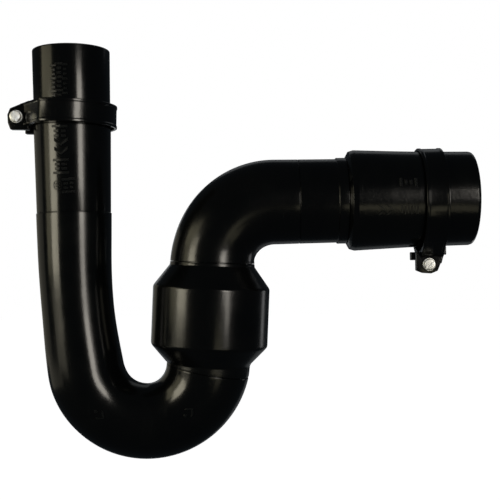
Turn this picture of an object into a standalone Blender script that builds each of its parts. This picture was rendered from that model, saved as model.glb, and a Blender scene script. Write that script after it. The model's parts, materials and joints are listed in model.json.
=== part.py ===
"""P trap for a waste pipe: clamp-tightened inlet socket, return bend, enlarged
seal chamber, outlet elbow and clamp-tightened outlet socket.

Metres, +Z up. The origin is the centre of the inlet socket's mouth, +Z runs
out of that mouth and +X runs out of the outlet socket. The whole body is a
round tube carried along one centreline in the XZ plane, so most pieces are
profiles of (distance along the centreline, radius).
"""

import math

import bmesh
import bpy
from mathutils import Matrix, Vector

MM = 0.001
GAP = 0.3 * MM                 # clearance kept between neighbouring pieces
SIDES = 28                     # facets round each tube
ARC_STEP = math.radians(11)    # turn between rings on a bend
RUN_STEP = 20 * MM             # and the longest run between them

# Centreline, from the inlet mouth down, round the bend, up and out
INLET_DROP = 125 * MM          # straight run below the mouth
LEG_RADIUS = 500 * MM          # slow lean of the leg into the bend
LEG_LEAN = math.radians(8.7)
BEND_RADIUS = 38.8 * MM
CHAMBER_LEAN = math.radians(3.3)
OUTLET_DROP = 97.4 * MM        # outlet axis below the inlet mouth
ELBOW_RADIUS = 39.3 * MM
OUTLET_REACH = 249.5 * MM      # outlet mouth from the inlet axis

# Joints between the moulded pieces of the body
INLET_TUBE_LENGTH = 101.8 * MM
BEND_LENGTH = 207.4 * MM
CHAMBER_LENGTH = 67.8 * MM
ELBOW_TAIL = 15.5 * MM         # straight run after the elbow's turn
HUB_LENGTH = 78.6 * MM
WALL = 3.0 * MM
TONGUE_LENGTH = 4.0 * MM
TONGUE_WALL = 1.2 * MM

# Sockets and their seal sleeves
INLET_MOUTH_RADIUS = 24.05 * MM
INLET_SEAT_RADIUS = 21.6 * MM
INLET_SEAT_DEPTH = 42.0 * MM
INLET_BORE_RADIUS = 20.0 * MM
INLET_SLEEVE_BORE = 19.2 * MM   # grips a 38.1 mm tailpiece
OUTLET_SEAT_RADIUS = 26.6 * MM
OUTLET_SEAT_DEPTH = 45.0 * MM
OUTLET_BORE_RADIUS = 25.0 * MM
OUTLET_STOP_RADIUS = 23.2 * MM
OUTLET_SLEEVE_BORE = 24.3 * MM  # grips a 48.3 mm waste pipe
SLEEVE_SPARE = 1.0 * MM         # sleeve sits this far inside the mouth
RIB_HEIGHT = 0.7 * MM
RIB_WIDTH = 1.6 * MM
RIB_PLACES = (0.25, 0.5, 0.75)  # shares of the sleeve's length
SLEEVE_LEAD_IN = 0.6 * MM

CHAMBER_RADIUS = 36.6 * MM
NECK_RADIUS = 26.1 * MM
CHAMBER_BASE = 16.0 * MM        # corners of the wide part, from the chamber's lower end
CHAMBER_TOP = 52.5 * MM
CORNER_RADIUS = 4.0 * MM
LOW_NECK_LENGTH = 4.5 * MM
HIGH_NECK_LENGTH = 2.0 * MM
HIGH_NECK_SWELL = 0.6 * MM
SEAM_SWELL = 0.4 * MM
CONE_INSET = 1.5 * MM           # inside corners stand this far from the outside ones
CORNER_INSET = 1.2 * MM

# Outside radius of each tube, along its length
RIM_BEVEL = 0.5 * MM
BAND_STOP = (38.5 * MM, 40.0 * MM)      # a small step up that the inlet band sits over
BAND_STOP_FOOT_RADIUS = 23.7 * MM
INLET_END_RADIUS = 23.0 * MM
BEND_LIP_RADIUS = 23.4 * MM
BEND_WAIST = (60 * MM, 22.4 * MM)       # distance after the seam, radius
BEND_SWELLINGS = ((103 * MM, 23.8 * MM), (132 * MM, 23.4 * MM), (168 * MM, 23.8 * MM))
ELBOW_LIP_RADIUS = 26.5 * MM
ELBOW_WAIST = (10 * MM, 26.0 * MM)
ELBOW_CROWN_LEAD = 8 * MM               # before the end of the elbow's turn
ELBOW_CROWN_RADIUS = 26.6 * MM
ELBOW_END_RADIUS = 26.4 * MM
COLLAR_LENGTH = 6.2 * MM
COLLAR_RADIUS = 26.9 * MM
COLLAR_STEP = 0.5 * MM
OUTLET_TUBE_END_RADIUS = 26.2 * MM
HUB_SHOULDER = ((GAP, 27.6 * MM), (1.9 * MM, 30.6 * MM),
                (5.0 * MM, 31.5 * MM))  # distance after the seam, radius
HUB_TAPER_LENGTH = 37 * MM              # and back from the mouth
HUB_TAPER_RADIUS = 30.0 * MM
HUB_RIM = ((1.8 * MM, 29.3 * MM), (0.6 * MM, 28.9 * MM), (0.0, 28.3 * MM))
STOP_THICKNESS = 2.5 * MM

# Clamps: one design in two bores
BAND_WALL = 1.6 * MM
BAND_WIDTH = 14.0 * MM
EAR_GAP = 7.0 * MM
EAR_THICKNESS = 5.0 * MM
EAR_LENGTH = 12.3 * MM          # beyond the band's outside
EAR_ROOT_TOP = 8.4 * MM         # half height of the ears where they leave the band
EAR_TIP_TOP = 3.4 * MM          # the ear tapers to this on its mouth side
EAR_BOTTOM = 9.8 * MM           # and reaches past the band on the other side
ROOT_BOTTOM = 10.9 * MM         # the rear ear's root reaches a little further
ROOT_LENGTH = 4.0 * MM
REAR_TIP_BOTTOM = 7.4 * MM
TAB_REACH = 11.6 * MM           # half height of the tab at the rear ear's root, mouth side
TAB_LENGTH = 0.9 * MM           # and how far it stands out
TAB_INSET = 0.4 * MM
EAR_INSET = 0.5 * MM            # the ears start this far outside the bore
EAR_SHOULDER = 1.6 * MM         # slants and heel at the ear's tip
EAR_CHEEK = 4.0 * MM
EAR_DRAFT = 0.4 * MM
EAR_HEEL = 2.0 * MM
FLANK_REACH = 2.2 * MM          # the flanks meet the ears this far beyond the outside
SCREW_OFFSET = 6.6 * MM         # screw axis beyond the band's outside
SCREW_DROP = 1.9 * MM           # and off the band's middle, away from the mouth
SCREW_RADIUS = 2.0 * MM         # M4
SCREW_HOLE_RADIUS = 2.4 * MM
SCREW_LENGTH = 20.0 * MM
HEAD_RADIUS = 3.5 * MM
HEAD_HEIGHT = 2.6 * MM
HEAD_BEVEL = 0.3 * MM
TIP_BEVEL = 0.7 * MM
SLOT_WIDTH = 1.1 * MM
SLOT_DEPTH = 1.2 * MM
WASHER_RADIUS = 4.0 * MM
WASHER_THICKNESS = 0.6 * MM
NUT_SIDE = 7.0 * MM             # square M4 nut
NUT_THICKNESS = 3.2 * MM

INLET_BAND_BORE = 25.6 * MM
INLET_BAND_SWELL = 3.8 * MM     # its outside is round about a point this far towards the ears
INLET_BAND_FLANK = math.radians(62.5)    # half angle of the flat-sided part at the ears
INLET_BAND_DEPTH = 41.1 * MM    # below the inlet mouth
INLET_BAND_SHIFT = 0.7 * MM     # the loose band leans off the socket's axis
INLET_BAND_TILT = math.radians(2.0)
OUTLET_BAND_BORE = 31.5 * MM
OUTLET_BAND_SWELL = 0.0 * MM
OUTLET_BAND_FLANK = math.radians(43)
OUTLET_BAND_HEEL = 29.0 * MM    # radius that the tabs at its ears reach in to
OUTLET_BAND_DEPTH = 26.3 * MM   # back from the outlet mouth
OUTLET_BAND_SAG = 1.25 * MM     # the loose band hangs on the socket
INLET_SLOT_ANGLE = math.radians(110)   # how each screw's slot happens to stand
OUTLET_SLOT_ANGLE = math.radians(-45)

BLACK_BODY = (0.012, 0.012, 0.014)
BLACK_BAND = (0.016, 0.016, 0.018)
BLACK_RUBBER = (0.025, 0.025, 0.026)
ZINC_STEEL = (0.72, 0.72, 0.70)


class Centreline:
    """Lines and arcs in the XZ plane, read by distance from the inlet mouth."""

    def __init__(self):
        self.spans = []
        self.point = Vector((0.0, 0.0))
        self.heading = -math.pi / 2
        self.length = 0.0

    def line(self, length):
        self.spans.append((self.length, length, self.point.copy(), self.heading, 0.0))
        self.point += length * Vector((math.cos(self.heading), math.sin(self.heading)))
        self.length += length

    def arc(self, radius, turn):
        """A positive turn goes anticlockwise in the XZ plane, seen from -Y."""
        length = radius * abs(turn)
        self.spans.append((self.length, length, self.point.copy(), self.heading, turn / length))
        self.point, self.heading = self.read(self.length + length)
        self.length += length

    def read(self, distance):
        """Point and heading at a distance; the end spans run on straight."""
        start, length, point, heading, curvature = self.spans[0]
        for span in self.spans:
            if distance >= span[0] - 1e-9:
                start, length, point, heading, curvature = span
        run = distance - start
        if curvature == 0.0:
            return point + run * Vector((math.cos(heading), math.sin(heading))), heading
        end = heading + curvature * run
        across = (math.sin(end) - math.sin(heading)) / curvature
        rise = (math.cos(heading) - math.cos(end)) / curvature
        return point + Vector((across, rise)), end

    def rings_between(self, low, high):
        """Distances of the extra rings that a bend needs between two points."""
        extra = []
        for start, length, _, _, curvature in self.spans:
            first = max(low, start)
            last = min(high, start + length)
            if curvature == 0.0 or last - first < 1e-6:
                continue
            run = last - first
            count = math.ceil(max(abs(curvature) * run / ARC_STEP, run / RUN_STEP))
            extra += [first + run * step / count for step in range(count + 1)]
        return [s for s in extra if low + GAP < s < high - GAP]


def trap_centreline():
    line = Centreline()
    line.line(INLET_DROP)
    line.arc(LEG_RADIUS, LEG_LEAN)
    line.arc(BEND_RADIUS, math.pi - LEG_LEAN - CHAMBER_LEAN)
    elbow_start = -OUTLET_DROP - ELBOW_RADIUS * (1 - math.sin(CHAMBER_LEAN))
    line.line((elbow_start - line.point.y) / math.cos(CHAMBER_LEAN))
    line.arc(ELBOW_RADIUS, -(math.pi / 2 - CHAMBER_LEAN))
    line.line(OUTLET_REACH - line.point.x)
    return line


PATH = trap_centreline()
SEAM_1 = INLET_TUBE_LENGTH
SEAM_2 = SEAM_1 + BEND_LENGTH
SEAM_3 = SEAM_2 + CHAMBER_LENGTH
SEAM_4 = PATH.spans[-1][0] + ELBOW_TAIL
SEAM_5 = PATH.length - HUB_LENGTH
MOUTH = PATH.length


def make_material(name, color, roughness, metallic=0.0):
    material = bpy.data.materials.new(name)
    material.use_nodes = True
    shader = material.node_tree.nodes["Principled BSDF"]
    shader.inputs["Base Color"].default_value = (*color, 1.0)
    shader.inputs["Roughness"].default_value = roughness
    shader.inputs["Metallic"].default_value = metallic
    material.diffuse_color = (*color, 1.0)
    return material


def add_object(name, bm, material, sharp=35):
    """Turn a bmesh into a named, smooth-shaded object with outward faces."""
    bmesh.ops.recalc_face_normals(bm, faces=bm.faces)
    mesh = bpy.data.meshes.new(name)
    bm.to_mesh(mesh)
    bm.free()
    mesh.materials.append(material)
    mesh.shade_smooth()
    mesh.set_sharp_from_angle(angle=math.radians(sharp))
    thing = bpy.data.objects.new(name, mesh)
    bpy.context.collection.objects.link(thing)
    return thing


def bridge_rings(bm, rings):
    """Join a closed chain of equal rings into one skin."""
    for ring, following in zip(rings, rings[1:] + rings[:1]):
        count = len(ring)
        for i in range(count):
            j = (i + 1) % count
            bm.faces.new((ring[i], ring[j], following[j], following[i]))


def ring_on_path(bm, distance, radius):
    centre, heading = PATH.read(distance)
    across = Vector((-math.sin(heading), 0.0, math.cos(heading)))
    ring = []
    for i in range(SIDES):
        angle = 2 * math.pi * i / SIDES
        offset = across * math.cos(angle) + Vector((0.0, math.sin(angle), 0.0))
        ring.append(bm.verts.new(Vector((centre.x, 0.0, centre.y)) + radius * offset))
    return ring


def follow_bends(profile):
    """Add rings where a stretch of the profile runs along a bend."""
    full = []
    for (s, r), (s_next, r_next) in zip(profile, profile[1:]):
        full.append((s, r))
        low, high = sorted((s, s_next))
        extra = PATH.rings_between(low, high)
        if s_next < s:
            extra.reverse()
        full += [(e, r + (r_next - r) * (e - s) / (s_next - s)) for e in extra]
    full.append(profile[-1])
    return full


def tube_on_path(name, outer, inner, material):
    """A hollow piece of the body: outer and inner (distance, radius) lists,
    both from the upstream end to the downstream end."""
    bm = bmesh.new()
    loop = follow_bends(outer) + follow_bends(inner[::-1])
    bridge_rings(bm, [ring_on_path(bm, s, r) for s, r in loop])
    return add_object(name, bm, material)


def tongue(seam, bore):
    """Outer points of the upstream piece's tongue, after its end face."""
    radius = bore + TONGUE_WALL
    return [(seam, radius), (seam + TONGUE_LENGTH, radius)]


def rebate(seam, bore):
    """Inner points of the downstream piece round that tongue."""
    radius = bore + TONGUE_WALL + GAP
    floor = seam + TONGUE_LENGTH + GAP
    return [(seam + GAP, radius), (floor, radius), (floor, bore)]


def inlet_tube(material):
    foot, top = BAND_STOP
    outer = [(0.0, INLET_MOUTH_RADIUS - RIM_BEVEL), (RIM_BEVEL, INLET_MOUTH_RADIUS),
             (foot, BAND_STOP_FOOT_RADIUS), (top, INLET_MOUTH_RADIUS), (SEAM_1, INLET_END_RADIUS)]
    bore = INLET_END_RADIUS - WALL
    inner = [(0.0, INLET_SEAT_RADIUS), (INLET_SEAT_DEPTH, INLET_SEAT_RADIUS),
             (INLET_SEAT_DEPTH, INLET_BORE_RADIUS), (SEAM_1 + TONGUE_LENGTH, bore)]
    return tube_on_path("inlet_tube", outer + tongue(SEAM_1, bore), inner, material)


def return_bend(material):
    shaped = [(SEAM_1 + s, r) for s, r in (BEND_WAIST, *BEND_SWELLINGS)]
    outer = [(SEAM_1 + GAP, BEND_LIP_RADIUS)] + shaped + [(SEAM_2, NECK_RADIUS)]
    outlet_bore = NECK_RADIUS - WALL
    inner = rebate(SEAM_1, INLET_END_RADIUS - WALL)
    inner += [(s, r - WALL) for s, r in shaped]
    inner.append((SEAM_2 + TONGUE_LENGTH, outlet_bore))
    return tube_on_path("return_bend", outer + tongue(SEAM_2, outlet_bore), inner, material)


def fillet_points(before, corner, after, radius, count=3):
    """Round one corner of a (distance, radius) outline."""
    corner = Vector(corner)
    back = (Vector(before) - corner).normalized()
    ahead = (Vector(after) - corner).normalized()
    half = back.angle(ahead) / 2
    reach = radius / math.tan(half)
    start = corner + back * reach
    end = corner + ahead * reach
    points = []
    for step in range(count + 1):
        t = step / count
        point = (1 - t) ** 2 * start + 2 * t * (1 - t) * corner + t ** 2 * end
        points.append((point.x, point.y))
    return points


def seal_chamber(material):
    bore = NECK_RADIUS - WALL
    base = SEAM_2 + CHAMBER_BASE
    top = SEAM_2 + CHAMBER_TOP
    neck_low = (SEAM_2 + LOW_NECK_LENGTH, NECK_RADIUS)
    neck_high = (SEAM_3 - HIGH_NECK_LENGTH, NECK_RADIUS + HIGH_NECK_SWELL)
    low_corner = (base, CHAMBER_RADIUS)
    high_corner = (top, CHAMBER_RADIUS)
    outer = [(SEAM_2 + GAP, NECK_RADIUS), neck_low]
    outer += fillet_points(neck_low, low_corner, high_corner, CORNER_RADIUS)
    outer += fillet_points(low_corner, high_corner, neck_high, CORNER_RADIUS)
    outer += [neck_high, (SEAM_3, NECK_RADIUS + SEAM_SWELL)]
    inner = rebate(SEAM_2, bore)
    inner += [(neck_low[0] + CONE_INSET, bore), (base + CORNER_INSET, CHAMBER_RADIUS - WALL),
              (top - CORNER_INSET, CHAMBER_RADIUS - WALL), (neck_high[0] - CONE_INSET, bore),
              (SEAM_3 + TONGUE_LENGTH, bore)]
    return tube_on_path("seal_chamber", outer + tongue(SEAM_3, bore), inner, material)


def outlet_elbow(material):
    crown = PATH.spans[-1][0] - ELBOW_CROWN_LEAD
    end_bore = ELBOW_END_RADIUS - WALL
    waist, waist_radius = ELBOW_WAIST
    outer = [(SEAM_3 + GAP, ELBOW_LIP_RADIUS), (SEAM_3 + waist, waist_radius),
             (crown, ELBOW_CROWN_RADIUS), (SEAM_4, ELBOW_END_RADIUS)]
    inner = rebate(SEAM_3, NECK_RADIUS - WALL)
    inner += [(crown, ELBOW_CROWN_RADIUS - WALL), (SEAM_4 + TONGUE_LENGTH, end_bore)]
    return tube_on_path("outlet_elbow", outer + tongue(SEAM_4, end_bore), inner, material)


def outlet_tube(material):
    collar = SEAM_5 - COLLAR_LENGTH
    end_bore = OUTLET_TUBE_END_RADIUS - WALL
    outer = [(SEAM_4 + GAP, ELBOW_END_RADIUS), (collar, OUTLET_TUBE_END_RADIUS),
             (collar + COLLAR_STEP, COLLAR_RADIUS), (SEAM_5, COLLAR_RADIUS)]
    inner = rebate(SEAM_4, ELBOW_END_RADIUS - WALL) + [(SEAM_5 + TONGUE_LENGTH, end_bore)]
    return tube_on_path("outlet_tube", outer + tongue(SEAM_5, end_bore), inner, material)


def outlet_socket(material):
    stop = SEAM_5 + HUB_SHOULDER[-1][0] + STOP_THICKNESS
    seat = MOUTH - OUTLET_SEAT_DEPTH
    outer = [(SEAM_5 + s, r) for s, r in HUB_SHOULDER]
    outer.append((MOUTH - HUB_TAPER_LENGTH, HUB_TAPER_RADIUS))
    outer += [(MOUTH - s, r) for s, r in HUB_RIM]
    inner = rebate(SEAM_5, OUTLET_TUBE_END_RADIUS - WALL)
    inner += [(stop, OUTLET_STOP_RADIUS), (stop, OUTLET_BORE_RADIUS), (seat, OUTLET_BORE_RADIUS),
              (seat, OUTLET_SEAT_RADIUS), (MOUTH, OUTLET_SEAT_RADIUS)]
    return tube_on_path("outlet_socket", outer, inner, material)


def seal_sleeve(name, start, end, outside, bore, material):
    """Elastomer liner with raised sealing ribs inside its bore."""
    ribbed = [(start, bore + SLEEVE_LEAD_IN)]
    for share in RIB_PLACES:
        middle = start + (end - start) * share
        ribbed += [(middle - RIB_WIDTH, bore + RIB_HEIGHT), (middle, bore),
                   (middle + RIB_WIDTH, bore + RIB_HEIGHT)]
    ribbed.append((end, bore + SLEEVE_LEAD_IN))
    return tube_on_path(name, [(start, outside), (end, outside)], ribbed, material)


def seal_sleeves(material):
    seal_sleeve("inlet_seal_sleeve", SLEEVE_SPARE, INLET_SEAT_DEPTH - GAP,
                INLET_SEAT_RADIUS - GAP, INLET_SLEEVE_BORE, material)
    seal_sleeve("outlet_seal_sleeve", MOUTH - OUTLET_SEAT_DEPTH + GAP, MOUTH - SLEEVE_SPARE,
                OUTLET_SEAT_RADIUS - GAP, OUTLET_SLEEVE_BORE, material)


def prism(bm, outline, low, high, place):
    """Extrude a closed 2D outline; place maps (u, v, height) to a point."""
    bottom = [bm.verts.new(place(u, v, low)) for u, v in outline]
    top = [bm.verts.new(place(u, v, high)) for u, v in outline]
    bm.faces.new(bottom)
    bm.faces.new(top)
    count = len(outline)
    for i in range(count):
        j = (i + 1) % count
        bm.faces.new((bottom[i], bottom[j], top[j], top[i]))


def upright(u, v, height):
    """Outline in XY, extruded along Z."""
    return Vector((u, v, height))


def sideways(u, v, height):
    """Outline in XZ, extruded along Y."""
    return Vector((u, height, v))


def cutter(bm, name):
    """A hidden solid that only shapes another piece."""
    bmesh.ops.recalc_face_normals(bm, faces=bm.faces)
    mesh = bpy.data.meshes.new(name)
    bm.to_mesh(mesh)
    bm.free()
    thing = bpy.data.objects.new(name, mesh)
    bpy.context.collection.objects.link(thing)
    thing.hide_render = True
    thing.display_type = "WIRE"
    return thing


def combine(thing, other, operation):
    modifier = thing.modifiers.new(other.name, "BOOLEAN")
    modifier.operation = operation
    modifier.object = other
    other.parent = thing


def arc_points(radius, start, end, count):
    step = (end - start) / count
    return [(radius * math.cos(start + step * i), radius * math.sin(start + step * i))
            for i in range(count + 1)]


def round_bar(bm, x, z, radius, low, high, sides=20):
    """A round bar along Y at a given x and z."""
    outline = arc_points(radius, 0.0, 2 * math.pi * (sides - 1) / sides, sides - 1)
    prism(bm, [(x + u, z + v) for u, v in outline], low, high, sideways)


def band_outline(outside, swell, flank, steps):
    """The band's outside seen along its axis, from one side of the split to
    the other. The round is off centre, so that the wall thickens towards the
    ears, and a straight flank joins it to each ear."""
    radius = outside + swell
    round_part = []
    for i in range(steps + 1):
        angle = (2 * i / steps - 1) * (math.pi - flank)
        reach = math.sqrt(radius ** 2 - (swell * math.sin(angle)) ** 2) - swell * math.cos(angle)
        round_part.append((reach * math.cos(angle), reach * math.sin(angle)))
    corner = Vector(round_part[-1])
    ear_face = EAR_GAP / 2 + EAR_THICKNESS
    along = Vector((-(outside + FLANK_REACH), ear_face)) - corner
    end = corner + along * (EAR_GAP / 2 - corner.y) / along.y
    return [(end.x, -end.y)] + round_part + [(end.x, end.y)]


def clamp_band(name, bore, swell, flank, heel, mouth_side, material):
    """Split band round local Z; its ears point along local -X and the screw
    runs along local Y. The socket's mouth is on the local Z side given as 1
    or -1, which is the side that the ears taper on. Given a heel radius, two
    tabs beside the band reach in from the rear ear to rest on the socket."""
    outside = bore + BAND_WALL
    half = BAND_WIDTH / 2
    split = math.asin(EAR_GAP / 2 / bore)
    band = bmesh.new()
    outline = band_outline(outside, swell, flank, 32)
    outline += arc_points(bore, math.pi - split, -math.pi + split, 36)
    prism(band, outline, -half, half, upright)
    thing = add_object(name, band, material)

    root = -(bore + EAR_INSET)
    tip = -(outside + EAR_LENGTH)
    near = EAR_GAP / 2
    far = near + EAR_THICKNESS
    shoulder = tip + EAR_SHOULDER
    front = [(root, EAR_ROOT_TOP), (shoulder, EAR_TIP_TOP), (tip, EAR_TIP_TOP - EAR_CHEEK),
             (tip + EAR_DRAFT, EAR_CHEEK - EAR_BOTTOM), (tip + EAR_HEEL, -EAR_BOTTOM),
             (root, -EAR_BOTTOM)]
    step = -(outside + ROOT_LENGTH)
    rear = [(root, EAR_ROOT_TOP), (shoulder, EAR_TIP_TOP), (shoulder, -REAR_TIP_BOTTOM),
            (step, -REAR_TIP_BOTTOM), (step, -ROOT_BOTTOM), (root, -ROOT_BOTTOM)]
    ears = ((front, -far, -near, "front_ear"), (rear, near, far, "rear_ear"))
    for outline, low, high, label in ears:
        ear = bmesh.new()
        prism(ear, [(u, mouth_side * v) for u, v in outline], low, high, sideways)
        combine(thing, cutter(ear, f"{name}.{label}"), "UNION")

    lap = half - TAB_INSET
    tabs = ((lap, TAB_REACH, "mouth_tab"), (TAB_INSET - ROOT_BOTTOM, -lap, "body_tab"))
    for low, high, label in tabs if heel else ():
        inner, outer = -heel, -(outside + TAB_LENGTH)
        block = [(inner, low), (inner, high), (outer, high), (outer, low)]
        tab = bmesh.new()
        prism(tab, [(u, mouth_side * v) for u, v in block], near + TAB_INSET, far - TAB_INSET,
              sideways)
        combine(thing, cutter(tab, f"{name}.{label}"), "UNION")

    screw_x = -(outside + SCREW_OFFSET)
    screw_z = -mouth_side * SCREW_DROP
    hole = bmesh.new()
    round_bar(hole, screw_x, screw_z, SCREW_HOLE_RADIUS, -2 * far, 2 * far)
    combine(thing, cutter(hole, f"{name}.screw_hole"), "DIFFERENCE")
    pocket = bmesh.new()
    reach = NUT_SIDE / 2 + GAP
    square = [(screw_x + u * reach, screw_z + v * reach)
              for u, v in ((-1, -1), (1, -1), (1, 1), (-1, 1))]
    prism(pocket, square, far - NUT_THICKNESS - GAP, 2 * far, sideways)
    combine(thing, cutter(pocket, f"{name}.nut_pocket"), "DIFFERENCE")
    return thing


def turned_on_y(name, profile, material, sides=20):
    """A closed solid turned round local Y from (y, radius) points."""
    bm = bmesh.new()
    rings = []
    for y, radius in profile:
        rings.append([bm.verts.new((radius * math.cos(2 * math.pi * i / sides), y,
                                    radius * math.sin(2 * math.pi * i / sides)))
                      for i in range(sides)])
    for ring, following in zip(rings, rings[1:]):
        for i in range(sides):
            j = (i + 1) % sides
            bm.faces.new((ring[i], ring[j], following[j], following[i]))
    bm.faces.new(rings[0])
    bm.faces.new(rings[-1])
    return add_object(name, bm, material)


def clamp_screw(name, slot_angle, material):
    """Slotted cheese head screw; local y = 0 is the underside of its head."""
    profile = [(-HEAD_HEIGHT, HEAD_RADIUS - HEAD_BEVEL), (-HEAD_HEIGHT + HEAD_BEVEL, HEAD_RADIUS),
               (0.0, HEAD_RADIUS), (0.0, SCREW_RADIUS), (SCREW_LENGTH - TIP_BEVEL, SCREW_RADIUS),
               (SCREW_LENGTH, SCREW_RADIUS - TIP_BEVEL)]
    thing = turned_on_y(name, profile, material)
    slot = bmesh.new()
    half = SLOT_WIDTH / 2
    reach = 2 * HEAD_RADIUS
    prism(slot, [(-reach, -half), (reach, -half), (reach, half), (-reach, half)],
          -2 * HEAD_HEIGHT, -HEAD_HEIGHT + SLOT_DEPTH, sideways)
    blade = cutter(slot, f"{name}.slot")
    blade.rotation_euler = (0.0, -slot_angle, 0.0)
    combine(thing, blade, "DIFFERENCE")
    return thing


def pierced_plate(name, outline, hole_radius, thickness, material):
    """A plate across local Y with a round hole; the outline has as many
    points as the hole."""
    bm = bmesh.new()
    count = len(outline)
    hole = arc_points(hole_radius, 0.0, 2 * math.pi * (count - 1) / count, count - 1)
    loops = []
    for points, y in ((outline, 0.0), (outline, thickness), (hole, thickness), (hole, 0.0)):
        loops.append([bm.verts.new((u, y, v)) for u, v in points])
    bridge_rings(bm, loops)
    return add_object(name, bm, material)


def square_outline(side, per_side):
    """Points round a square, one at each equal step of angle from +X."""
    points = []
    for i in range(4 * per_side):
        angle = 2 * math.pi * i / (4 * per_side)
        scale = side / 2 / max(abs(math.cos(angle)), abs(math.sin(angle)))
        points.append((scale * math.cos(angle), scale * math.sin(angle)))
    return points


def clamp(prefix, bore, shape, mouth_side, slot_angle, placement, band_material, steel):
    """One clamp: band, screw, washer and captive nut under one placement."""
    band = clamp_band(f"{prefix}_clamp_band", bore, *shape, mouth_side, band_material)
    band.matrix_world = placement
    screw_x = -(bore + BAND_WALL + SCREW_OFFSET)
    face = -(EAR_GAP / 2 + EAR_THICKNESS)
    washer_y = face - GAP - WASHER_THICKNESS
    nut_y = -face - NUT_THICKNESS
    washer_outline = arc_points(WASHER_RADIUS, 0.0, 2 * math.pi * 19 / 20, 19)
    washer = pierced_plate(f"{prefix}_clamp_washer", washer_outline, SCREW_RADIUS + GAP,
                           WASHER_THICKNESS, steel)
    nut = pierced_plate(f"{prefix}_clamp_nut", square_outline(NUT_SIDE, 4), SCREW_RADIUS + GAP,
                        NUT_THICKNESS, steel)
    screw = clamp_screw(f"{prefix}_clamp_screw", slot_angle, steel)
    for thing, y in ((washer, washer_y), (nut, nut_y), (screw, washer_y - GAP)):
        thing.matrix_world = placement @ Matrix.Translation((screw_x, y, -mouth_side * SCREW_DROP))


def inlet_clamp_placement():
    """Ears towards -X, tilted a little on the upright socket."""
    place = Matrix.Translation((INLET_BAND_SHIFT, 0.0, -INLET_BAND_DEPTH))
    return place @ Matrix.Rotation(INLET_BAND_TILT, 4, "Y")


def outlet_clamp_placement():
    """Ears hanging down; the outlet mouth is on the local -Z side."""
    place = Matrix.Translation((OUTLET_REACH - OUTLET_BAND_DEPTH, 0.0,
                                -OUTLET_DROP - OUTLET_BAND_SAG))
    return place @ Matrix.Rotation(-math.pi / 2, 4, "Y")


def build():
    for old in list(bpy.data.objects):
        bpy.data.objects.remove(old, do_unlink=True)
    body = make_material("trap_body", BLACK_BODY, 0.28)
    band = make_material("clamp_band", BLACK_BAND, 0.4)
    rubber = make_material("seal_sleeve", BLACK_RUBBER, 0.7)
    steel = make_material("zinc_steel", ZINC_STEEL, 0.35, 1.0)
    for make in (inlet_tube, return_bend, seal_chamber, outlet_elbow, outlet_tube, outlet_socket):
        make(body)
    seal_sleeves(rubber)
    clamp("inlet", INLET_BAND_BORE, (INLET_BAND_SWELL, INLET_BAND_FLANK, None), 1,
          INLET_SLOT_ANGLE, inlet_clamp_placement(), band, steel)
    clamp("outlet", OUTLET_BAND_BORE, (OUTLET_BAND_SWELL, OUTLET_BAND_FLANK, OUTLET_BAND_HEEL),
          -1, OUTLET_SLOT_ANGLE, outlet_clamp_placement(), band, steel)


build()
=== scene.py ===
"""The P trap's finished look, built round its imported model.

Metres, +Z up, in the model's own frame: the origin is the centre of the inlet
mouth, +Z runs out of it and +X runs out of the outlet. The moulded pieces are
fine skins swept along one centreline in the XZ plane.
"""

import json
import math

import bmesh
import bpy
from mathutils import Matrix, Vector


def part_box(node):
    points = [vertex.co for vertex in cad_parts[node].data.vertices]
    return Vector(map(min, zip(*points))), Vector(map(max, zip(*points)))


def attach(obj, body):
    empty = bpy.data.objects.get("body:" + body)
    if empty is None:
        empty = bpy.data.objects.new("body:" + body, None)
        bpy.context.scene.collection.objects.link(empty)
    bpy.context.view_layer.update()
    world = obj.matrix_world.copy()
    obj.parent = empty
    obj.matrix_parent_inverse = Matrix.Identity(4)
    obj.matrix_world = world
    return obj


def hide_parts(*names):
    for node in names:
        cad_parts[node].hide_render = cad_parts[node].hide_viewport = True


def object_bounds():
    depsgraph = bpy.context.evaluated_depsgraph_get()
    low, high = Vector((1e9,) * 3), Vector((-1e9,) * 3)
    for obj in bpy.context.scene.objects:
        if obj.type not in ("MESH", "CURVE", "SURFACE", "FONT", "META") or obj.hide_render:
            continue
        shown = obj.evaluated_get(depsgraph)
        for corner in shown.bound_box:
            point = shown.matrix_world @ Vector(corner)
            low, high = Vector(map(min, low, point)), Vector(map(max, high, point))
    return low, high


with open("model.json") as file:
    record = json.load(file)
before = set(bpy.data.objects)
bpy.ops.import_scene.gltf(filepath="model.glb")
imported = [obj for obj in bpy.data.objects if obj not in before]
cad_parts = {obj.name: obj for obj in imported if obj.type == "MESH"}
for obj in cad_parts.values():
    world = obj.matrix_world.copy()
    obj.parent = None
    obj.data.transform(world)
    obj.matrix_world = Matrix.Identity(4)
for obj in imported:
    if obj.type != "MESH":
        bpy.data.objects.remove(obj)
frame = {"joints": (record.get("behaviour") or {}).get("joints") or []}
CAD_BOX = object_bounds()

MM = 0.001
JOINTS = {joint["name"]: joint for joint in frame["joints"]}

SIDES = 112                    # points round a tube
ARC_STEP = math.radians(2.5)   # turn between rings on a bend
RUN_STEP = 6 * MM              # and the longest run between them on a slow one
RIDGE_HEIGHT = 0.09 * MM       # parting line of the mould halves
RIDGE_TOP = math.radians(0.45)
RIDGE_FOOT = math.radians(1.0)
GAP = 0.3 * MM

# Centreline: the ends come from the model, the bends are its own dimensions
OUTLET_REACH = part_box("outlet_socket")[1].x
OUTLET_DROP = -JOINTS["outlet_clamp_swivel"]["pos_m"][2]
INLET_DROP = 125 * MM
LEG_RADIUS = 500 * MM
LEG_LEAN = math.radians(8.7)
BEND_RADIUS = 38.8 * MM
CHAMBER_LEAN = math.radians(3.3)
ELBOW_RADIUS = 39.3 * MM

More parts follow.
